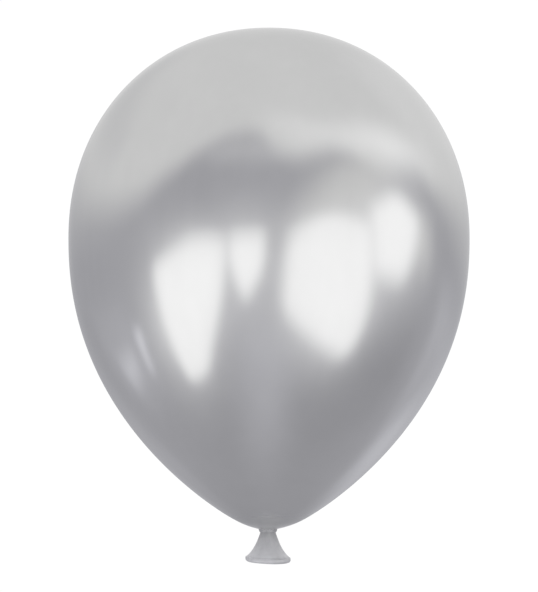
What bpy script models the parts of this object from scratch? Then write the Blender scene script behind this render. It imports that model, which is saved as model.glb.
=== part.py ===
"""Silver metallic party balloon of rubber latex, blown up and tied off.

Metres, +Z up. The origin is the centre of the widest circle, on the balloon's axis. The crown is above it.
The knot, the slack skirt of the neck and the lip rolled round its mouth hang below. The front faces -Y.
"""

import math

import bmesh
import bpy
from mathutils import Matrix

MM = 0.001

# Envelope, the blown skin: a rounded dome above the widest circle and a taper below it
WIDEST_RADIUS = 150.0 * MM
CROWN_HEIGHT = 157.4 * MM
TAPER_DEPTH = 222.4 * MM
DOME_POWER = 2.09
TAPER_HEIGHT_POWER = 2.175
TAPER_RADIUS_POWER = 1.25
# The skin is drawn up a little where the throat gathers it
THROAT_LIFT = 3.5 * MM
THROAT_LIFT_SPREAD = 15.5 * MM
ENVELOPE_WALL = 0.5 * MM
DOME_RINGS = 13
TAPER_RINGS = 16

# Everything below the envelope hangs on the neck's own axis, a little to the left of the balloon's
NECK_X = -0.8 * MM
SEAT_GAP = 0.3 * MM

# Throat, the neck's film gathered into a cord that passes through the knot
THROAT_RADIUS = 3.7 * MM
THROAT_TOP_Z = -214.6 * MM
THROAT_BOTTOM_Z = -223.0 * MM
THROAT_END_ROUND = 1.5 * MM
# What fits round the throat: the knot and the skirt share its axis, and the envelope's hole does not
GATHER_HOLE_RADIUS = THROAT_RADIUS + SEAT_GAP
ENVELOPE_HOLE_RADIUS = GATHER_HOLE_RADIUS + abs(NECK_X)

# Knot, one turn of the neck pulled tight round the throat, with its tuck bulging at the back
KNOT_OUTER_RADIUS = 6.9 * MM
KNOT_HEIGHT = 2.5 * MM
KNOT_TOP_Z = -217.95 * MM
TUCK_RADII = (2.4 * MM, 1.3 * MM, 1.4 * MM)
TUCK_REACH = 7.7 * MM
TUCK_DROP = 0.6 * MM

# Skirt, the slack end of the neck: film that flares from the waist under the knot to the mouth
WAIST_RADIUS = 5.6 * MM
SHOULDER_RADIUS = 5.3 * MM
SHOULDER_DROP = 0.6 * MM
FLARE_STRAIGHT = 7.0 * MM
FLARE_CURVED = 5.0 * MM
FLARE_START_Z = -220.2 * MM
FLARE_HEIGHT = 20.0 * MM
SKIRT_WALL = 0.5 * MM
SKIRT_RINGS = 9

# Lip, the bead of film rolled round the mouth
LIP_BEAD_RADIUS = 2.15 * MM
LIP_RING_RADIUS = 15.1 * MM
LIP_Z = -240.2 * MM

# Facets round each piece
ENVELOPE_SIDES = 48
NECK_SIDES = 32
BEAD_SIDES = 12
TUCK_SIDES = 16
TUCK_RINGS = 10

# Colour, roughness and metallic share of each finish
SILVER_FILM = ((0.62, 0.62, 0.64, 1.0), 0.22, 1.0)
SLACK_FILM = ((0.58, 0.58, 0.60, 1.0), 0.38, 0.85)


def clear_scene():
    for obj in list(bpy.data.objects):
        bpy.data.objects.remove(obj, do_unlink=True)


def new_collection(name):
    collection = bpy.data.collections.new(name)
    bpy.context.scene.collection.children.link(collection)
    return collection


def finish(name, colour, roughness, metallic):
    """A Principled material of one colour."""
    material = bpy.data.materials.new(name)
    material.use_nodes = True
    shader = material.node_tree.nodes["Principled BSDF"]
    shader.inputs["Base Color"].default_value = colour
    shader.inputs["Roughness"].default_value = roughness
    shader.inputs["Metallic"].default_value = metallic
    return material


def add_object(name, mesh, collection, material, parent=None):
    mesh.shade_smooth()
    mesh.materials.append(material)
    obj = bpy.data.objects.new(name, mesh)
    collection.objects.link(obj)
    obj.parent = parent
    return obj


def turned(name, profile, sides, collection, material, parent=None):
    """A profile of (radius, height) points, top to bottom, turned about the object's own Z axis."""
    mesh = bpy.data.meshes.new(name)
    points = [(radius, 0.0, height) for radius, height in profile]
    edges = [(i, i + 1) for i in range(len(points) - 1)]
    mesh.from_pydata(points, edges, [])
    obj = add_object(name, mesh, collection, material, parent)
    screw = obj.modifiers.new("Turn", "SCREW")
    screw.axis = "Z"
    screw.steps = sides
    screw.render_steps = sides
    screw.use_merge_vertices = True
    screw.merge_threshold = 0.00001
    screw.use_smooth_shade = True
    return obj


def thicken(obj, wall):
    """Gives a turned surface its wall, on its inner side."""
    solidify = obj.modifiers.new("Wall", "SOLIDIFY")
    solidify.thickness = wall
    solidify.offset = -1.0
    solidify.use_even_offset = True


def ring_mesh(ring_radius, bead_radius, bead_height):
    """A torus whose bead is bead_height tall, as a mesh with no object."""
    bpy.ops.mesh.primitive_torus_add(
        major_radius=ring_radius,
        minor_radius=bead_radius,
        major_segments=NECK_SIDES,
        minor_segments=BEAD_SIDES,
    )
    obj = bpy.context.active_object
    mesh = obj.data
    bpy.data.objects.remove(obj)
    mesh.transform(Matrix.Diagonal((1.0, 1.0, bead_height / (2 * bead_radius), 1.0)))
    return mesh


def taper_height(radius):
    """Height of the skin below the widest circle: a Lame curve, lifted near the throat."""
    share = (radius / WIDEST_RADIUS) ** TAPER_RADIUS_POWER
    drop = TAPER_DEPTH * (1.0 - share) ** (1.0 / TAPER_HEIGHT_POWER)
    return THROAT_LIFT * math.exp(-((radius / THROAT_LIFT_SPREAD) ** 2)) - drop


def envelope_profile():
    """From the crown's pole, round the dome and down the taper to the hole that the throat closes."""
    profile = []
    for ring in range(DOME_RINGS):
        turn = 0.5 * math.pi * ring / DOME_RINGS
        radius = WIDEST_RADIUS * math.sin(turn) ** (2.0 / DOME_POWER)
        height = CROWN_HEIGHT * math.cos(turn) ** (2.0 / DOME_POWER)
        profile.append((radius, height))
    last_turn = math.asin((ENVELOPE_HOLE_RADIUS / WIDEST_RADIUS) ** (0.5 * TAPER_RADIUS_POWER))
    for ring in range(TAPER_RINGS + 1):
        turn = 0.5 * math.pi + (last_turn - 0.5 * math.pi) * ring / TAPER_RINGS
        radius = WIDEST_RADIUS * math.sin(turn) ** (2.0 / TAPER_RADIUS_POWER)
        profile.append((radius, taper_height(min(radius, WIDEST_RADIUS))))
    return profile


def throat_profile():
    """A short cord with rounded ends."""
    return [
        (0.0, THROAT_TOP_Z),
        (THROAT_RADIUS - THROAT_END_ROUND, THROAT_TOP_Z),
        (THROAT_RADIUS, THROAT_TOP_Z - THROAT_END_ROUND),
        (THROAT_RADIUS, THROAT_BOTTOM_Z + THROAT_END_ROUND),
        (THROAT_RADIUS - THROAT_END_ROUND, THROAT_BOTTOM_Z),
        (0.0, THROAT_BOTTOM_Z),
    ]


def flare_radius(share):
    """Outer radius of the skirt at a share of the flare's height below its start."""
    return WAIST_RADIUS + FLARE_STRAIGHT * share + FLARE_CURVED * share**3


def skirt_profile():
    """A shoulder out from the throat under the knot, then the flare down to just above the lip."""
    shoulder_z = KNOT_TOP_Z - KNOT_HEIGHT - SEAT_GAP
    rim_z = LIP_Z + LIP_BEAD_RADIUS + SEAT_GAP
    waist_z = shoulder_z - SHOULDER_DROP
    profile = [(GATHER_HOLE_RADIUS, shoulder_z), (SHOULDER_RADIUS, shoulder_z)]
    for ring in range(SKIRT_RINGS + 1):
        height = waist_z + (rim_z - waist_z) * ring / SKIRT_RINGS
        share = (FLARE_START_Z - height) / FLARE_HEIGHT
        profile.append((flare_radius(share), height))
    return profile


def add_envelope(collection, material):
    envelope = turned("envelope", envelope_profile(), ENVELOPE_SIDES, collection, material)
    thicken(envelope, ENVELOPE_WALL)


def add_knot(collection, cutters, material, neck):
    """The ring of the knot, with the bulge of its tuck joined on at the back."""
    bead_radius = 0.5 * (KNOT_OUTER_RADIUS - GATHER_HOLE_RADIUS)
    ring_radius = KNOT_OUTER_RADIUS - bead_radius
    knot = add_object("knot", ring_mesh(ring_radius, bead_radius, KNOT_HEIGHT), collection, material, neck)
    knot.location.z = KNOT_TOP_Z - 0.5 * KNOT_HEIGHT
    mesh = bpy.data.meshes.new("tuck")
    shape = bmesh.new()
    stretch = Matrix.Diagonal((*TUCK_RADII, 1.0))
    bmesh.ops.create_uvsphere(
        shape, u_segments=TUCK_SIDES, v_segments=TUCK_RINGS, radius=1.0, matrix=stretch
    )
    shape.to_mesh(mesh)
    shape.free()
    tuck = add_object("tuck", mesh, cutters, material, neck)
    tuck.location = (0.0, TUCK_REACH, knot.location.z - TUCK_DROP)
    tuck.hide_render = True
    tuck.display_type = "WIRE"
    join = knot.modifiers.new("Tuck", "BOOLEAN")
    join.operation = "UNION"
    join.object = tuck


def add_neck(collection, cutters, film, neck):
    turned("throat", throat_profile(), NECK_SIDES, collection, film, neck)
    add_knot(collection, cutters, film, neck)
    skirt = turned("neck_skirt", skirt_profile(), NECK_SIDES, collection, film, neck)
    thicken(skirt, SKIRT_WALL)
    lip_mesh = ring_mesh(LIP_RING_RADIUS, LIP_BEAD_RADIUS, 2 * LIP_BEAD_RADIUS)
    lip = add_object("rolled_lip", lip_mesh, collection, film, neck)
    lip.location.z = LIP_Z


def main():
    clear_scene()
    collection = new_collection("metallic_balloon")
    cutters = new_collection("helpers")
    neck = bpy.data.objects.new("neck_axis", None)
    neck.location.x = NECK_X
    collection.objects.link(neck)
    add_envelope(collection, finish("silver_film", *SILVER_FILM))
    add_neck(collection, cutters, finish("slack_film", *SLACK_FILM), neck)


main()
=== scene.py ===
# %% [markdown]
# A silver party balloon, blown up and tied off.
#
# The real balloon is one dipped piece of rubber. A person blows it up, pulls the neck tight, ties it in a
# knot, and the slack end of the neck is left hanging with its rolled lip. So there are five places where the
# rubber changes its form, and each of them is a surface of its own here: the skin, the gathered throat, the
# knot, the skirt and the lip. Every one follows from a formula, because a balloon is a shape that air makes.

import math

import bpy
import numpy as np
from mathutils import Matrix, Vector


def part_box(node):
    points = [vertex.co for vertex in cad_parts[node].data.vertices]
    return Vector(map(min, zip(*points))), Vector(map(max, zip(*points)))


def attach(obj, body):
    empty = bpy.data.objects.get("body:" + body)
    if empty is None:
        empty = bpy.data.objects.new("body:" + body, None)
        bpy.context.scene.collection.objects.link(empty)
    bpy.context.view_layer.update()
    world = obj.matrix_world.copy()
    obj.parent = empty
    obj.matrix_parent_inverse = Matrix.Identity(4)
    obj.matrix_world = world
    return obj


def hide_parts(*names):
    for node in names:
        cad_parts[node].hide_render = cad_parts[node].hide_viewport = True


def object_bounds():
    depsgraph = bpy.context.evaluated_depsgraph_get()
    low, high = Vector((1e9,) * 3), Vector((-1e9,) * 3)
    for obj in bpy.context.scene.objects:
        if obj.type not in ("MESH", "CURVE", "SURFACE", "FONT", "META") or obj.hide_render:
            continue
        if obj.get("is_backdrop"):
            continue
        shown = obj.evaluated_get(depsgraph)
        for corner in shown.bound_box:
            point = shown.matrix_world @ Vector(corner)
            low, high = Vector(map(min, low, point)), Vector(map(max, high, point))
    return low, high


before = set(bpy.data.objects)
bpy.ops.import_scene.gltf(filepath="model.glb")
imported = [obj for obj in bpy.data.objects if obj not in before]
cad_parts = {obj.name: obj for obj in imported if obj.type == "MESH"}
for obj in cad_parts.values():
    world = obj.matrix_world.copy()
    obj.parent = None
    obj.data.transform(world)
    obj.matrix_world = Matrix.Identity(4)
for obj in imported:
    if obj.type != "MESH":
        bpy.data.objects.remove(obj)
solid_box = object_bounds()

# %% [markdown]
# The solids of the frame say where everything is and how big it is. The sizes that they show are read from
# them, so the fine surfaces can't drift away. What they don't show, such as how far a fold stands out, is a
# named size in metres.
#
# A bearing is an angle round the balloon in degrees. 0 faces the viewer of the photo, which is -Y, and 90 is
# on the viewer's right, which is +X.

# %% Read the sizes from the frame
MM = 0.001

_, envelope_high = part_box("envelope")
throat_low, throat_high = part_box("throat")
knot_low, knot_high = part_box("knot")
lip_low, lip_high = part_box("rolled_lip")

WIDEST_RADIUS = envelope_high[0]
CROWN_HEIGHT = envelope_high[2]
NECK_X = 0.5 * (lip_low[0] + lip_high[0])
THROAT_RADIUS = 0.5 * (throat_high[0] - throat_low[0])
KNOT_RADIUS = 0.5 * (knot_high[0] - knot_low[0])
KNOT_TOP = knot_high[2]
LIP_BEAD = 0.5 * (lip_high[2] - lip_low[2])
LIP_Z = 0.5 * (lip_high[2] + lip_low[2])
LIP_RING = 0.5 * (lip_high[0] - lip_low[0]) - LIP_BEAD
print(f"widest radius {WIDEST_RADIUS / MM:.1f} mm, crown at {CROWN_HEIGHT / MM:.1f} mm")
print(f"neck axis at x = {NECK_X / MM:.1f} mm, lip {2 * (LIP_RING + LIP_BEAD) / MM:.1f} mm across")

# %% [markdown]
# A helper that turns a stack of rings into a mesh.
#
# Each piece is a grid of points: one ring after another, each ring going once round. It could be built with
# a Screw modifier and sculpted afterwards, but a formula can add the folds as it goes, and it comes out the
# same each time. The helper joins the rings with four-sided faces and closes an end with a fan of triangles
# round its middle. Rings that run downwards, each of them counterclockwise as seen from above, give faces
# that point outwards.


# %% Rings to mesh
def quads_between(rows, columns, closed):
    """Corner numbers of the faces between rings: row r and column c are point r * columns + c."""
    last = rows if closed else rows - 1
    row, column = np.meshgrid(np.arange(last), np.arange(columns), indexing="ij")
    below = (row + 1) % rows
    after = (column + 1) % columns
    corners = [
        row * columns + column,
        below * columns + column,
        below * columns + after,
        row * columns + after,
    ]
    return np.stack(corners, -1).reshape(-1, 4)


def fan(ring, middle, downwards):
    """Triangles from a ring's points to the point in its middle."""
    after = np.roll(ring, -1)
    first, second = (after, ring) if downwards else (ring, after)
    return np.stack([np.full_like(ring, middle), first, second], -1)


def surface_from_rings(name, rings, closed=False, close_start=False, close_end=False):
    """A mesh object from an array of rings, shaped (rings, points in a ring, 3)."""
    rows, columns, _ = rings.shape
    points = rings.reshape(-1, 3)
    faces = quads_between(rows, columns, closed).tolist()
    if close_start:
        faces += fan(np.arange(columns), len(points), False).tolist()
        points = np.vstack([points, rings[0].mean(0)])
    if close_end:
        faces += fan(np.arange(columns) + (rows - 1) * columns, len(points), True).tolist()
        points = np.vstack([points, rings[-1].mean(0)])
    mesh = bpy.data.meshes.new(name)
    mesh.from_pydata(points.tolist(), [], faces)
    mesh.shade_smooth()
    piece = bpy.data.objects.new(name, mesh)
    bpy.context.scene.collection.objects.link(piece)
    print(f"{name}: {len(points)} points, {len(faces)} faces")
    return piece


def around(radius, height, bearing, centre_x=0.0):
    """Points at a radius, height and bearing round an upright axis: x = r sin b, y = -r cos b."""
    x = centre_x + radius * np.sin(bearing)
    y = -radius * np.cos(bearing)
    return np.stack(np.broadcast_arrays(x, y, height), -1)


def bearings(columns):
    """Bearings of the points of a ring in radians, from the back, once round."""
    return np.linspace(-math.pi, math.pi, columns, endpoint=False)[None, :]


def ease(value, low, high):
    """0 below low, 1 above high, and a smooth step between them: 3 t^2 - 2 t^3."""
    share = np.clip((value - low) / (high - low), 0.0, 1.0)
    return share * share * (3.0 - 2.0 * share)


def film(piece, thickness):
    """Gives a surface the thickness of rubber film, on its inner side."""
    wall = piece.modifiers.new("Film", "SOLIDIFY")
    wall.thickness = thickness
    wall.offset = -1.0
    wall.use_even_offset = True


# %% [markdown]
# The skin.
#
# Air pushes a balloon's skin out equally in every direction, so its outline is one smooth curve with no
# flat and no corner. An ellipse is a little too pointed for the dome. A Lame curve, which is an ellipse with
# other powers than 2, can be made fuller, and with a power near 1 across and above 2 along it also draws the
# long taper to the neck.
#
# At the bottom the knot has pulled the skin into the throat. The knot sits in a shallow dimple there, so the
# last few millimetres turn inwards over it, and they are drawn into gathers that soon die out up the taper.

# %% Shape of the skin
DOME_POWER = 2.09
TAPER_DEPTH = 222.4 * MM
TAPER_HEIGHT_POWER = 2.175
TAPER_RADIUS_POWER = 1.25
THROAT_LIFT = 3.5 * MM
THROAT_LIFT_SPREAD = 15.5 * MM

DIMPLE_RADIUS = 6.9 * MM
DIMPLE_RISE = 0.3 * MM
SKIN_END_RADIUS = THROAT_RADIUS + 0.35 * MM
SKIN_WALL = 0.25 * MM

DOME_RINGS = 64
TAPER_RINGS = 100
DIMPLE_RINGS = 7
SKIN_COLUMNS = 192

GATHERS = 14
GATHER_HEIGHT = 0.22 * MM
GATHER_REACH = 5.5 * MM


def taper_height(radius):
    """Height of the taper: -depth (1 - (r / widest)^1.25)^(1 / 2.175), and a bell-shaped lift at the throat."""
    share = np.clip(radius / WIDEST_RADIUS, 0.0, 1.0) ** TAPER_RADIUS_POWER
    lift = THROAT_LIFT * np.exp(-((radius / THROAT_LIFT_SPREAD) ** 2))
    return lift - TAPER_DEPTH * (1.0 - share) ** (1.0 / TAPER_HEIGHT_POWER)


def skin_outline():
    """Radius and height from just off the crown's pole down to the throat.

    Dome: r = widest sin(t)^(2 / 2.09), z = crown cos(t)^(2 / 2.09). Taper: as taper_height.
    Dimple: a quarter of an ellipse that turns in from the taper's end and rises beside the throat.
    """
    turn = np.linspace(0.0, math.pi / 2, DOME_RINGS + 1)[1:-1]
    dome_radius = WIDEST_RADIUS * np.sin(turn) ** (2.0 / DOME_POWER)
    dome_height = CROWN_HEIGHT * np.cos(turn) ** (2.0 / DOME_POWER)
    last = math.asin((DIMPLE_RADIUS / WIDEST_RADIUS) ** (0.5 * TAPER_RADIUS_POWER))
    turn = np.linspace(math.pi / 2, last, TAPER_RINGS)
    taper_radius = WIDEST_RADIUS * np.sin(turn) ** (2.0 / TAPER_RADIUS_POWER)
    turn = np.linspace(0.0, math.pi / 2, DIMPLE_RINGS + 1)[1:]
    dimple_radius = SKIN_END_RADIUS + (DIMPLE_RADIUS - SKIN_END_RADIUS) * (1.0 - np.sin(turn))
    dimple_height = taper_height(DIMPLE_RADIUS) + DIMPLE_RISE * (1.0 - np.cos(turn))
    radius = np.concatenate([dome_radius, taper_radius, dimple_radius])
    height = np.concatenate([dome_height, taper_height(taper_radius), dimple_height])
    return radius[:, None], height[:, None]


def build_skin():
    """The outline turned round the axis, which slides over to the neck's own axis near the throat.

    Gathers lift the height by h cos(14 b + sin 3 b) and fade with exp(-(r - r0) / reach).
    """
    radius, height = skin_outline()
    bearing = bearings(SKIN_COLUMNS)
    below = height < 0.0
    fade = np.where(below, np.exp(-np.maximum(radius - DIMPLE_RADIUS, 0.0) / GATHER_REACH), 0.0)
    fade = fade * ease(radius, SKIN_END_RADIUS, DIMPLE_RADIUS)
    folds = np.cos(GATHERS * bearing + np.sin(3.0 * bearing)) - 1.0
    slide = np.where(below, 1.0 - ease(radius, DIMPLE_RADIUS, 4.0 * DIMPLE_RADIUS), 0.0)
    rings = around(radius, height + 0.5 * GATHER_HEIGHT * fade * folds, bearing, NECK_X * slide)
    skin = surface_from_rings("envelope_skin", rings, close_start=True)
    film(skin, SKIN_WALL)
    return skin


skin = build_skin()
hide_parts("envelope")
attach(skin, "root")

# %% [markdown]
# The throat.
#
# Inside the knot the neck's film is squeezed into a cord. A round bar wouldn't do: seen from below, through
# the mouth, the film ends in a pucker whose folds run to its middle. The cord's outline is a circle with
# lobes, the lobes twist a little on their way down, and the ends close over a rounded tip.

# %% Shape of the throat
THROAT_TOP = throat_high[2]
THROAT_BOTTOM = throat_low[2]
THROAT_FOLDS = 9
THROAT_FOLD_DEPTH = 0.22
THROAT_TWIST = math.radians(50.0)
THROAT_WANDER = 0.8
TIP_SHARE = 0.004
THROAT_RINGS = 40
THROAT_COLUMNS = 108


def build_throat():
    """Rings whose radius is R e (1 - d (1 + cos(9 b + twist + 0.8 sin 2 b)) / 2).

    e = (1 - |2 s - 1|^5)^(1 / 2) rounds off both ends, for a share s of the way down.
    """
    share = np.linspace(TIP_SHARE, 1.0 - TIP_SHARE, THROAT_RINGS)[:, None]
    bearing = bearings(THROAT_COLUMNS)
    round_off = (1.0 - np.abs(2.0 * share - 1.0) ** 5) ** 0.5
    twist = THROAT_TWIST * share
    phase = THROAT_FOLDS * (bearing + twist) + THROAT_WANDER * np.sin(2.0 * bearing)
    folds = 0.5 * (1.0 + np.cos(phase))
    radius = THROAT_RADIUS * round_off * (1.0 - THROAT_FOLD_DEPTH * folds)
    height = THROAT_TOP + (THROAT_BOTTOM - THROAT_TOP) * share
    rings = around(radius, height, bearing, NECK_X)
    return surface_from_rings("throat_gathers", rings, close_start=True, close_end=True)


throat = build_throat()
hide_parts("throat")
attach(throat, "root")

# %% [markdown]
# The knot.
#
# One turn of bunched film goes round the throat, climbs over its own start at the back and passes under
# itself there. It's a thick band with a squarish section, wider at the top, where it is pressed into the
# skin's dimple. The section is carried along a path round the throat that drops a little as it goes, and
# shallow ridges run along the band, because the film in it is bunched lengthwise. A short loop at the back
# is the place where the neck was pulled through.

# %% Shape of the knot
BAND_HALF_WIDTH = 1.35 * MM
BAND_HALF_HEIGHT = 1.75 * MM
BAND_TAPER = 0.28
BAND_POWER = 2.8
BAND_PATH_RADIUS = KNOT_RADIUS - BAND_HALF_WIDTH - 0.1 * BAND_TAPER * BAND_HALF_HEIGHT
BAND_MIDDLE = KNOT_TOP - 0.6 * MM
BAND_TURN = math.radians(400.0)
BAND_DROP = 0.5 * MM
BAND_RIDGES = 8
BAND_RIDGE_DEPTH = 0.09
BAND_RIDGE_TWIST = 5.0
BAND_STEPS = 170
BAND_SIDES = 64

LOOP_REACH = 7.7 * MM
LOOP_ROOT = 5.6 * MM
LOOP_HALF_HEIGHT = 1.15 * MM
LOOP_HALF_WIDTH = 2.1 * MM
LOOP_HALF_THICKNESS = 0.85 * MM
LOOP_DROP = 0.45 * MM
LOOP_RIDGES = 7
LOOP_RIDGE_DEPTH = 0.12
LOOP_RIDGE_TWIST = 2.0
LOOP_STEPS = 40
LOOP_SIDES = 40


def squarish(wave, power):
    """A cosine or sine made fuller, so that a section is a Lame curve: sign(w) |w|^(2 / power)."""
    return np.sign(wave) * np.abs(wave) ** (2.0 / power)


def along_path(centre, outwards, sideways, out_size, side_size, angle, power=2.0, taper=0.0):
    """A section carried along a path.

    A point is centre + outwards (out cos a + taper side sin a) + sideways (side sin a), for an angle a.
    """
    side = side_size * squarish(np.sin(angle), power)
    out = out_size * squarish(np.cos(angle), power) + taper * side
    return centre + outwards * out[..., None] + sideways * side[..., None]


def build_band():
    """The squarish section carried 400 degrees round the throat, sinking as it goes.

    Ridges scale it by 1 - d (1 + cos(8 a + 5 p)) / 2, and (1 - |2 s - 1|^14)^(1 / 2) rounds off both ends.
    """
    share = np.linspace(TIP_SHARE, 1.0 - TIP_SHARE, BAND_STEPS)[:, None]
    angle = np.linspace(0.0, 2.0 * math.pi, BAND_SIDES, endpoint=False)[None, :]
    turn = math.pi + BAND_TURN * (share - 0.5)
    path = turn - math.pi
    outwards = around(1.0, 0.0, path)
    centre = around(BAND_PATH_RADIUS, BAND_MIDDLE + BAND_DROP * (0.5 - share), path, NECK_X)
    upwards = np.array([0.0, 0.0, 1.0])
    ridges = 1.0 - BAND_RIDGE_DEPTH * 0.5 * (1.0 + np.cos(BAND_RIDGES * angle + BAND_RIDGE_TWIST * turn))
    size = ridges * (1.0 - np.abs(2.0 * share - 1.0) ** 14) ** 0.5
    out_size, up_size = BAND_HALF_WIDTH * size, BAND_HALF_HEIGHT * size
    rings = along_path(centre, outwards, upwards, out_size, up_size, angle, BAND_POWER, BAND_TAPER)
    return surface_from_rings("knot_turn", rings, close_start=True, close_end=True)


def build_loop():
    """A flat oval section carried over half an ellipse that stands out at the back of the knot.

    Ridges scale the section by 1 - d (1 + cos(7 a + 2 t)) / 2 for a turn t round the ellipse.
    """
    share = np.linspace(0.0, 1.0, LOOP_STEPS)[:, None]
    angle = np.linspace(0.0, 2.0 * math.pi, LOOP_SIDES, endpoint=False)[None, :]
    turn = math.pi * (share - 0.5)
    out_part, up_part = np.cos(turn), -np.sin(turn)
    reach = LOOP_ROOT + (LOOP_REACH - LOOP_ROOT) * out_part
    height = BAND_MIDDLE - LOOP_DROP + LOOP_HALF_HEIGHT * up_part
    zero = np.zeros_like(share)
    centre = np.stack([zero + NECK_X, reach, height], -1)
    outwards = np.stack([zero, out_part, up_part], -1)
    sideways = np.array([-1.0, 0.0, 0.0])
    ridges = 1.0 - LOOP_RIDGE_DEPTH * 0.5 * (1.0 + np.cos(LOOP_RIDGES * angle + LOOP_RIDGE_TWIST * turn))
    thickness, width = LOOP_HALF_THICKNESS * ridges, LOOP_HALF_WIDTH * ridges
    rings = along_path(centre, outwards, sideways, thickness, width, angle)
    return surface_from_rings("knot_loop", rings, close_start=True, close_end=True)


band = build_band()
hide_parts("knot")
loop = build_loop()
for piece in (band, loop):
    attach(piece, "root")

# %% [markdown]
# The skirt.
#
# Below the knot the neck is slack. It opens like a small trumpet: nearly straight at the waist, and then
# faster and faster towards the mouth. The knot pulls it into soft pleats that run down from the waist and
# die out before the lip. The mouth hangs about two degrees out of level, so each ring is tipped a little
# more than the one above it.

# %% Shape of the skirt
WAIST_RADIUS = 5.6 * MM
FLARE_STRAIGHT = 7.0 * MM
FLARE_CURVED = 5.0 * MM
FLARE_START = -220.2 * MM
FLARE_HEIGHT = 20.0 * MM
SKIRT_START = BAND_MIDDLE - 0.6 * BAND_HALF_HEIGHT
SKIRT_END = LIP_Z + 0.6 * LIP_BEAD
FILLET = 0.8 * MM
FILLET_REACH = 1.1 * MM
MOUTH_TILT = math.radians(2.0)
SKIRT_WALL = 0.35 * MM
SKIRT_RINGS = 64
SKIRT_COLUMNS = 144

MAIN_PLEATS = 4
MAIN_PLEAT_DEPTH = 0.40 * MM
FINE_PLEATS = 13
FINE_PLEAT_DEPTH = 0.16 * MM
PLEAT_FADE = 0.45
PLEAT_SWIRL = 0.35
PLEAT_WANDER = 1.3


def tip_mouth(points, share):
    """Tips rings so that the right side hangs lower: z falls by (x - neck) tan(2 degrees) times the share."""
    points[..., 2] -= (points[..., 0] - NECK_X) * math.tan(MOUTH_TILT) * share
    return points


def build_skirt():
    """Radius = waist + 7.0 s + 5.0 s^3 mm for a share s of the flare, with pleats and a fillet.

    The pleats are waves of cos(4 b) and cos(13 b) that fade with exp(-(s / 0.45)^2). The fillet widens the
    last millimetre by 0.8 exp(-height / 1.1) mm, so that the film runs into the lip without a corner.
    """
    height = np.linspace(SKIRT_START, SKIRT_END, SKIRT_RINGS)[:, None]
    share = (FLARE_START - height) / FLARE_HEIGHT
    bearing = bearings(SKIRT_COLUMNS)
    radius = WAIST_RADIUS + FLARE_STRAIGHT * share + FLARE_CURVED * share**3
    swirl = bearing + PLEAT_SWIRL * (1.0 - share)
    pleats = MAIN_PLEAT_DEPTH * 0.5 * (1.0 - np.cos(MAIN_PLEATS * bearing))
    pleats = pleats + FINE_PLEAT_DEPTH * np.cos(FINE_PLEATS * swirl + PLEAT_WANDER * np.sin(2.0 * bearing))
    fade = np.exp(-((share / PLEAT_FADE) ** 2))
    fillet = FILLET * np.exp(-(height - SKIRT_END) / FILLET_REACH)
    rings = around(radius + pleats * fade + fillet, height, bearing, NECK_X)
    skirt = surface_from_rings("neck_skirt_film", tip_mouth(rings, share[..., 0][:, None]))
    film(skirt, SKIRT_WALL)
    return skirt


skirt = build_skirt()
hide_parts("neck_skirt")
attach(skirt, "root")

# %% [markdown]
# The lip.
#
# When the balloon was made, the edge of its neck was rolled up on itself into a bead. A torus has the right
# shape, but a real bead is a spiral of film: it's never quite the same thickness all the way round, and
# shallow lines run along it where one layer lies on the next.

# %% Shape of the lip
LIP_UNEVEN = 0.035
LIP_LAYER_DEPTH = 0.05 * MM
LIP_LAYERS = 9
LIP_SPREAD = 0.25 * MM
LIP_STEPS = 160
LIP_SIDES = 48


def build_lip():
    """A ring of round sections whose size wavers slowly with the bearing b.

    Bead = R (1 + u (0.6 sin(2 b + 1) + 0.4 sin(5 b) - 1)), with layer lines of cos(9 a + b) round it.
    """
    bearing = bearings(LIP_STEPS).T
    angle = np.linspace(0.0, 2.0 * math.pi, LIP_SIDES, endpoint=False)[None, :]
    waver = 0.6 * np.sin(2.0 * bearing + 1.0) + 0.4 * np.sin(5.0 * bearing)
    bead = LIP_BEAD * (1.0 + LIP_UNEVEN * (waver - 1.0))
    bead = bead + LIP_LAYER_DEPTH * np.cos(LIP_LAYERS * angle + bearing)
    ring = LIP_RING + LIP_SPREAD * np.sin(2.0 * bearing + 0.5)
    outwards = around(1.0, 0.0, bearing)
    centre = around(ring, LIP_Z, bearing, NECK_X)
    rings = along_path(centre, outwards, np.array([0.0, 0.0, 1.0]), bead, bead, angle)
    return surface_from_rings("rolled_lip_bead", tip_mouth(rings, 1.0), closed=True)


lip = build_lip()
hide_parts("rolled_lip")
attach(lip, "root")

# %% [markdown]
# Materials are small graphs of nodes. This helper adds one node, sets it up and feeds its inputs, so that
# a graph reads as a few lines: an input that gets a socket is linked, and one that gets a number keeps it.


# %% Node helper
def add_node(tree, kind, inputs=None, **settings):
    """Adds a shader node of a kind, such as TexNoise, with its settings and inputs."""
    made = tree.nodes.new("ShaderNode" + kind)
    for name, value in settings.items():
        setattr(made, name, value)
    for slot, value in (inputs or {}).items():
        if isinstance(value, bpy.types.NodeSocket):
            tree.links.new(value, made.inputs[slot])
        else:
            made.inputs[slot].default_value = value
    return made


def math_node(tree, operation, *values):
    """The output of one Math node."""
    return add_node(tree, "Math", dict(enumerate(values)), operation=operation).outputs[0]


def stretch_range(tree, value, low, high, to_low=0.0, to_high=1.0, kind="LINEAR"):
    """Maps low..high to another range, and keeps what is outside at its ends."""
    inputs = {"Value": value, "From Min": low, "From Max": high, "To Min": to_low, "To Max": to_high}
    return add_node(tree, "MapRange", inputs, interpolation_type=kind).outputs["Result"]


def mix_colours(tree, share, first, second):
    """A blend from the first colour to the second."""
    inputs = {0: share, 6: first, 7: second}
    return add_node(tree, "Mix", inputs, data_type="RGBA").outputs[2]


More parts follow.
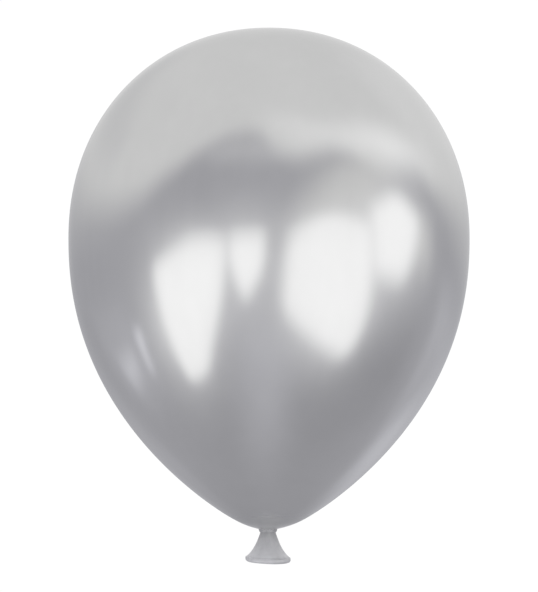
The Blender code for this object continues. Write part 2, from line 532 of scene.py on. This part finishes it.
def noise(tree, position, scale, detail=2.0, roughness=0.5):
    """A cloud of soft noise between 0 and 1."""
    inputs = {"Vector": position, "Scale": scale, "Detail": detail, "Roughness": roughness}
    return add_node(tree, "TexNoise", inputs).outputs["Fac"]


def grey(value, blue=1.0):
    """An RGBA colour of one brightness, a little bluer where blue is above 1."""
    return (value, value, value * blue, 1.0)


# %% [markdown]
# The finish of the blown skin.
#
# A metallic balloon is latex with a silver pigment, dipped so that the tiny flakes lie flat. It works as a
# mirror that isn't polished: everything in it is there, with soft edges. So it's fully metallic, a middle
# grey, and its roughness decides how soft the edges are. A single grey would look like paint. On the real
# film the pigment is faintly mottled where it stretched unevenly, and faint streaks run from crown to neck.
# At the throat, where it's least stretched, it's duller. Its colour is paler there too, and that is painted
# light, which lifts the shade in the crevice where the skin meets the knot.
#
# Bare metal turns white at a grazing angle. These flakes lie in rubber, and the balloon's edge in a photo
# stays grey, so the colour of the edge, which the shader calls Specular Tint, is a little below white.

# %% Silver film
SILVER = 0.62
SILVER_MOTTLE = 0.012
MOTTLE_SCALE = 26.0
STREAK_SCALE = (140.0, 140.0, 9.0)
STREAK_SHARE = 0.3
SKIN_ROUGHNESS = 0.16
SKIN_ROUGHNESS_SPREAD = 0.008
SKIN_EDGE = 0.88
SKIN_GRAIN_SCALE = 1100.0

# Start and end heights: where the film grows dull, and where painted light makes it paler by the knot
DULL_FROM, DULL_TO = -0.195, -0.219
PAINTED_LIGHT_FROM, PAINTED_LIGHT_TO = -0.210, -0.2175
THROAT_DULLER = 0.25
THROAT_PAINTED_LIGHT = 0.86


def silver_film():
    material = bpy.data.materials.new("silver_film")
    material.use_nodes = True
    tree = material.node_tree
    shader = tree.nodes["Principled BSDF"]
    position = add_node(tree, "TexCoord").outputs["Object"]
    mottle = noise(tree, position, MOTTLE_SCALE, detail=3.0)
    drawn_out = add_node(tree, "Mapping", {"Vector": position, "Scale": STREAK_SCALE}).outputs[0]
    streaks = noise(tree, drawn_out, 1.0, detail=3.0)
    mottle = math_node(tree, "MULTIPLY", mottle, 1.0 - STREAK_SHARE)
    streaks = math_node(tree, "MULTIPLY", streaks, STREAK_SHARE)
    tone = stretch_range(tree, math_node(tree, "ADD", mottle, streaks), 0.3, 0.7)
    colour = mix_colours(tree, tone, grey(SILVER - SILVER_MOTTLE), grey(SILVER + SILVER_MOTTLE))
    height = add_node(tree, "SeparateXYZ", {0: position}).outputs["Z"]
    # Painted light: the colour grows paler near the knot, to lift the shade in the crevice where the skin meets
    # it.
    pale = stretch_range(tree, height, PAINTED_LIGHT_FROM, PAINTED_LIGHT_TO, kind="SMOOTHSTEP")
    colour = mix_colours(tree, pale, colour, grey(THROAT_PAINTED_LIGHT))
    low, high = SKIN_ROUGHNESS - SKIN_ROUGHNESS_SPREAD, SKIN_ROUGHNESS + SKIN_ROUGHNESS_SPREAD
    dullness = stretch_range(tree, tone, 0.0, 1.0, low, high)
    dull = stretch_range(tree, height, DULL_FROM, DULL_TO, kind="SMOOTHSTEP")
    dullness = math_node(tree, "ADD", dullness, math_node(tree, "MULTIPLY", dull, THROAT_DULLER))
    grain = noise(tree, position, SKIN_GRAIN_SCALE)
    bump = add_node(tree, "Bump", {"Height": grain, "Strength": 0.12, "Distance": 0.02 * MM})
    tree.links.new(colour, shader.inputs["Base Color"])
    tree.links.new(dullness, shader.inputs["Roughness"])
    tree.links.new(bump.outputs["Normal"], shader.inputs["Normal"])
    shader.inputs["Metallic"].default_value = 1.0
    shader.inputs["Specular Tint"].default_value = grey(SKIN_EDGE)
    return material


skin.data.materials.append(silver_film())
print("silver film: roughness", SKIN_ROUGHNESS)

# %% [markdown]
# The finish of the slack film.
#
# Rubber that isn't stretched keeps its flakes at odd angles and scatters more of the light, so the knot,
# the skirt and the lip are satin, not mirrors. Painted light and shade are in its colour: it's darkest
# where it's bunched in the knot, as painted shade under the balloon, and lightest at the bottom of the
# skirt, where it's a single layer, as painted light that comes through it. Painted shade darkens one side,
# the viewer's right, where the studio's light falls strongest. Fine creases run down the film from the knot.

# %% Slack film
SLACK_ROUGHNESS = 0.50
SLACK_METALLIC = 0.4
SLACK_MOTTLE = 0.03
SLACK_MOTTLE_SCALE = 240.0
CREASE_SCALE = (900.0, 900.0, 70.0)
SLACK_GRAIN_SCALE = 2600.0
SLACK_GRAIN_SHARE = 0.25

# Painted light and shade on the film, from the mouth up to the knot: (height in mm, brightness)
SLACK_LIGHT_AND_SHADE = [
    (-242.0, 0.61), (-239.5, 0.62), (-237.6, 0.76), (-235.5, 0.68),
    (-230.0, 0.56), (-222.0, 0.42), (-219.0, 0.39), (-217.0, 0.36),
]
SLACK_BLUE = 1.03

# Painted shade across the neck, on the viewer's right where the studio's light is strongest: start, end and
# depth
SIDE_SHADE_FROM, SIDE_SHADE_TO = -1.0 * MM, 7.0 * MM
PAINTED_SIDE_SHADE = 0.86


def slack_film():
    material = bpy.data.materials.new("slack_film")
    material.use_nodes = True
    tree = material.node_tree
    shader = tree.nodes["Principled BSDF"]
    position = add_node(tree, "TexCoord").outputs["Object"]
    mottle = noise(tree, position, SLACK_MOTTLE_SCALE, detail=3.0)
    drawn_out = add_node(tree, "Mapping", {"Vector": position, "Scale": CREASE_SCALE}).outputs[0]
    creases = noise(tree, drawn_out, 1.0, detail=2.0)
    axes = add_node(tree, "SeparateXYZ", {0: position}).outputs
    bottom, top = SLACK_LIGHT_AND_SHADE[0][0], SLACK_LIGHT_AND_SHADE[-1][0]
    # Painted light and shade: the colour follows a ramp of brightness by height up the neck.
    ramp = add_node(tree, "ValToRGB", {0: stretch_range(tree, axes["Z"], bottom * MM, top * MM)})
    stops = ramp.color_ramp.elements
    for _ in SLACK_LIGHT_AND_SHADE[2:]:
        stops.new(0.5)
    for stop, (height, tone) in zip(stops, SLACK_LIGHT_AND_SHADE):
        stop.position = (height - bottom) / (top - bottom)
        stop.color = grey(tone, SLACK_BLUE)
    mottle = stretch_range(tree, mottle, 0.3, 0.7, -SLACK_MOTTLE, SLACK_MOTTLE)
    colour = add_node(tree, "VectorMath", {0: ramp.outputs["Color"], 1: mottle}, operation="ADD").outputs[0]
    # Painted shade: the colour darkens across the neck towards the viewer's right.
    side_shade = stretch_range(tree, axes["X"], SIDE_SHADE_FROM, SIDE_SHADE_TO, 1.0, PAINTED_SIDE_SHADE, "SMOOTHSTEP")
    colour = add_node(tree, "VectorMath", {0: colour, "Scale": side_shade}, operation="SCALE").outputs[0]
    dullness = stretch_range(tree, creases, 0.3, 0.7, SLACK_ROUGHNESS - 0.03, SLACK_ROUGHNESS + 0.04)
    grain = math_node(tree, "MULTIPLY", noise(tree, position, SLACK_GRAIN_SCALE), SLACK_GRAIN_SHARE)
    height = math_node(tree, "ADD", creases, grain)
    bump = add_node(tree, "Bump", {"Height": height, "Strength": 0.35, "Distance": 0.05 * MM})
    tree.links.new(colour, shader.inputs["Base Color"])
    tree.links.new(dullness, shader.inputs["Roughness"])
    tree.links.new(bump.outputs["Normal"], shader.inputs["Normal"])
    shader.inputs["Metallic"].default_value = SLACK_METALLIC
    return material


slack = slack_film()
for piece in (throat, band, loop, skirt, lip):
    piece.data.materials.append(slack)
print("slack film: roughness", SLACK_ROUGHNESS)

# %% [markdown]
# The studio.
#
# A mirror shows its surroundings, so the room does most of the work here. It could be built from walls and
# area lights. A sky that is computed from the direction does the same with no noise: above a line it's
# a pale ceiling, below it a darker wall, and flat panels of light stand round the balloon. Each panel is
# a polygon. Its corners are given as directions from the balloon, as (bearing, height angle) in degrees,
# and it covers what lies on the inner side of all the planes through the balloon and two neighbouring
# corners. A panel's softness is how many degrees its edge takes to fade.

# %% Plan of the studio
WALL_BLUE = 1.06
CEILING = grey(0.905)
WALL = grey(0.53, WALL_BLUE)
LOW_WALL = grey(0.465, WALL_BLUE)
WALL_DARKENS = (-25.0, -70.0)

# Where the wall ends and the ceiling begins: (bearing, height angle)
CEILING_LINE = [
    (-180, 4), (-157, 6), (-120, 7), (-92, 10), (-64, 25), (-40, 43), (-25, 49), (-9, 51),
    (3, 42), (20, 37), (47, 40), (74, 22), (92, 25), (113, 12), (135, 4), (155, 2), (180, 4),
]
CEILING_LINE_SOFTNESS = 19.0

# Patches of light that are part of the room: name, brightness, blue, softness, corners
PATCHES = [
    ("dim ceiling", 0.83, 1.01, 16, [(-165, 14), (-112, 16), (-108, 31), (-165, 33)]),
    ("pale corner", 0.98, 1.0, 20, [(112, 18), (150, 8), (170, 14), (150, 48), (118, 46)]),
    ("ceiling glow", 0.73, 1.03, 16, [(-42, 38), (-22, 47), (2, 45), (2, 39), (-36, 33)]),
    ("grey glow", 0.83, 1.0, 21, [(9, 4), (44, 35), (74, 29), (65, 7)]),
    ("pale ceiling", 1.03, 1.0, 20, [(-10, 56), (12, 46), (45, 46), (45, 58), (-5, 62)]),
    ("bright ceiling", 1.38, 1.0, 28, [(22, 47), (62, 51), (114, 23), (94, 21)]),
    ("lit floor", 0.685, WALL_BLUE, 38, [(-19, -24), (10, -29), (30, -71), (-20, -88)]),
    ("dark corner", 0.44, WALL_BLUE, 30, [(50, -36), (98, -14), (115, -31), (112, -58), (30, -70)]),
    ("lit corner", 0.60, WALL_BLUE, 16, [(-132, -13), (-92, -12), (-94, -40), (-124, -34)]),
    ("long streak", 1.10, WALL_BLUE, 5, [(-94, -23), (-88, -23), (-93, -36), (-96, -36)]),
    ("small spot", 0.85, WALL_BLUE, 8, [(-122, -24), (-102, -26), (-104, -32), (-119, -32)]),
    ("bright corner", 0.79, 1.0, 13, [(92, 7), (104, 4), (104, -5), (90, -5)]),
    ("far doorway", 0.65, WALL_BLUE, 14, [(118, -7), (170, -6), (160, -38), (126, -32)]),
    ("lit floor behind", 0.60, WALL_BLUE, 18, [(130, -14), (-150, -14), (-142, -35), (128, -35)]),
    ("window behind", 0.76, WALL_BLUE, 14, [(146, -18), (170, -17), (168, -28), (140, -38), (136, -31)]),
    ("dark floor behind", 0.43, WALL_BLUE, 24, [(-160, -24), (164, -24), (150, -56), (-150, -56)]),
]

# Windows, each with a glow that it spills on the wall round it: name, brightness, spill, softness, corners
WINDOWS = [
    ("left window", 1.43, 1.50, 7, [(-69, -6), (-43, 2), (-24, 1), (-26, -17), (-49, -47), (-68, -47)]),
    ("small window", 1.46, 1.52, 8, [(-22, 2), (-2, 3), (-2, -8), (-14, -22), (-23, -6)]),
    ("large window", 1.42, 1.50, 11, [(9, 0), (28, 10), (37, 11), (60, 5), (62, -33), (55, -41), (8, -25)]),
    ("right window", 1.44, 1.45, 11, [(59, 11), (78, 17), (95, 5), (83, -11), (62, -9)]),
]
SPILL_SOFTNESS = 58.0


def direction(bearing, height):
    """The unit vector that points to a bearing and height angle, both in degrees."""
    bearing, height = math.radians(bearing), math.radians(height)
    flat = math.cos(height)
    return np.array([flat * math.sin(bearing), -flat * math.cos(bearing), math.sin(height)])


def edge_planes(corners):
    """Normals of the planes through the balloon and each edge, on the panel's side."""
    points = np.array([direction(*corner) for corner in corners])
    normals = np.cross(points, np.roll(points, -1, axis=0))
    normals /= np.linalg.norm(normals, axis=1, keepdims=True)
    inwards = np.sign(normals @ points.mean(0))
    return normals * inwards[:, None]


def panel_share(tree, look, softness, corners):
    """1 inside a panel and 0 outside, as the product of a smooth step across each edge."""
    half = math.sin(math.radians(0.5 * softness))
    share = 1.0
    for normal in edge_planes(corners):
        side = add_node(tree, "VectorMath", {0: look, 1: tuple(normal)}, operation="DOT_PRODUCT")
        step = stretch_range(tree, side.outputs["Value"], -half, half, kind="SMOOTHSTEP")
        share = math_node(tree, "MULTIPLY", share, step)
    return share


# %% Light the studio
def ceiling_line(tree, bearing):
    """The height angle of the ceiling line at a bearing, both in radians, from a curve through its points."""
    share = stretch_range(tree, bearing, -math.pi, math.pi)
    curve = add_node(tree, "FloatCurve", {"Value": share})
    points = curve.mapping.curves[0].points
    for point, (at, height) in zip(points, (CEILING_LINE[0], CEILING_LINE[-1])):
        point.location = (at / 360.0 + 0.5, height / 90.0)
    for at, height in CEILING_LINE[1:-1]:
        points.new(at / 360.0 + 0.5, height / 90.0)
    curve.mapping.update()
    return math_node(tree, "MULTIPLY", curve.outputs["Value"], math.pi / 2)


def light_studio():
    world = bpy.data.worlds.new("studio")
    bpy.context.scene.world = world
    world.use_nodes = True
    tree = world.node_tree
    look = add_node(tree, "TexCoord").outputs["Generated"]
    axes = add_node(tree, "SeparateXYZ", {0: look}).outputs
    bearing = math_node(tree, "ARCTAN2", axes["X"], math_node(tree, "MULTIPLY", axes["Y"], -1.0))
    height = math_node(tree, "ARCSINE", axes["Z"])
    start, end = (math.radians(value) for value in WALL_DARKENS)
    low = stretch_range(tree, height, start, end, kind="SMOOTHSTEP")
    light = mix_colours(tree, low, WALL, LOW_WALL)
    above = math_node(tree, "SUBTRACT", height, ceiling_line(tree, bearing))
    half = math.radians(0.5 * CEILING_LINE_SOFTNESS)
    ceiling = stretch_range(tree, above, -half, half, kind="SMOOTHSTEP")
    light = mix_colours(tree, ceiling, light, CEILING)
    for _, brightness, blue, softness, corners in PATCHES:
        share = panel_share(tree, look, softness, corners)
        light = mix_colours(tree, share, light, grey(brightness, blue))
    for _, brightness, spill, softness, corners in WINDOWS:
        share = panel_share(tree, look, SPILL_SOFTNESS, corners)
        light = mix_colours(tree, share, light, grey(spill))
    for _, brightness, spill, softness, corners in WINDOWS:
        share = panel_share(tree, look, softness, corners)
        light = mix_colours(tree, share, light, grey(brightness))
    tree.links.new(light, tree.nodes["Background"].inputs["Color"])
    print("studio:", len(PATCHES), "patches,", len(WINDOWS), "windows,", len(tree.nodes), "nodes")


light_studio()

# %% [markdown]
# The floor and backdrop.
#
# A studio photo is taken against paper that curves up from the floor, so no corner shows. Here it's one
# closed surface all round. It makes its own light, so it's an even white behind the balloon, as in the photo,
# and no brighter, because a background that's brighter than white eats into the outline of what stands
# before it. The floor is a little darker than the wall. It's hidden from the reflections, which show the
# studio instead, and casts no shadow in them.

# %% Backdrop
FLOOR_DEPTH = 3.0
BACKDROP_RADIUS = 6.0
BACKDROP_TOP = 6.0
BACKDROP_POWER = 4.0
WALL_LIGHT = 1.02
FLOOR_LIGHT = 0.84


def build_backdrop():
    """|r / R|^4 + |z / H|^4 = 1, turned round the axis, with its inside showing."""
    turn = np.linspace(math.pi, 0.0, 66)[1:-1, None]
    radius = BACKDROP_RADIUS * np.sin(turn) ** (2.0 / BACKDROP_POWER)
    level = np.sign(np.cos(turn)) * np.abs(np.cos(turn)) ** (2.0 / BACKDROP_POWER)
    height = np.where(level < 0.0, FLOOR_DEPTH, BACKDROP_TOP) * level
    rings = around(radius, height, bearings(96))
    return surface_from_rings("backdrop", rings, close_start=True, close_end=True)


def paper():
    material = bpy.data.materials.new("pale_paper")
    material.use_nodes = True
    tree = material.node_tree
    shader = tree.nodes["Principled BSDF"]
    shader.inputs["Base Color"].default_value = grey(0.0)
    shader.inputs["Roughness"].default_value = 1.0
    shader.inputs["Specular IOR Level"].default_value = 0.0
    shader.inputs["Emission Color"].default_value = grey(1.0)
    position = add_node(tree, "TexCoord").outputs["Object"]
    height = add_node(tree, "SeparateXYZ", {0: position}).outputs["Z"]
    glow = stretch_range(tree, height, -FLOOR_DEPTH, -0.4 * FLOOR_DEPTH, FLOOR_LIGHT, WALL_LIGHT, "SMOOTHSTEP")
    tree.links.new(glow, shader.inputs["Emission Strength"])
    return material


backdrop = build_backdrop()
backdrop.data.materials.append(paper())
backdrop.visible_glossy = False
backdrop.visible_diffuse = False
backdrop.visible_shadow = False
backdrop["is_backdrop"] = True

# %% [markdown]
# The camera stands level with the lower half of the balloon, nearly two metres away, with a long lens that
# keeps the outline from swelling towards the viewer. The plain colour transform keeps white paper white.

# %% Camera
CAMERA_DISTANCE = 1.875
CAMERA_HEIGHT = -0.0429
PICTURE_HEIGHT = 592
PIXEL = 0.75 * MM
SENSOR = 36.0

camera_data = bpy.data.cameras.new("camera")
camera_data.sensor_width = SENSOR
camera_data.lens = SENSOR * CAMERA_DISTANCE / (PICTURE_HEIGHT * PIXEL)
camera = bpy.data.objects.new("camera", camera_data)
camera.location = (0.0, -CAMERA_DISTANCE, CAMERA_HEIGHT)
camera.rotation_euler = (math.radians(90.0), 0.0, 0.0)
bpy.context.scene.collection.objects.link(camera)
bpy.context.scene.camera = camera
bpy.context.scene.view_settings.view_transform = "Standard"
print(f"lens {camera_data.lens:.0f} mm at {CAMERA_DISTANCE} m")

# %% Print the size of the solids and of the scene
scene_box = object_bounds()
print("size of the solids and of the scene, in mm:")
for low, high in (solid_box, scene_box):
    print([round((b - a) / MM, 1) for a, b in zip(low, high)])
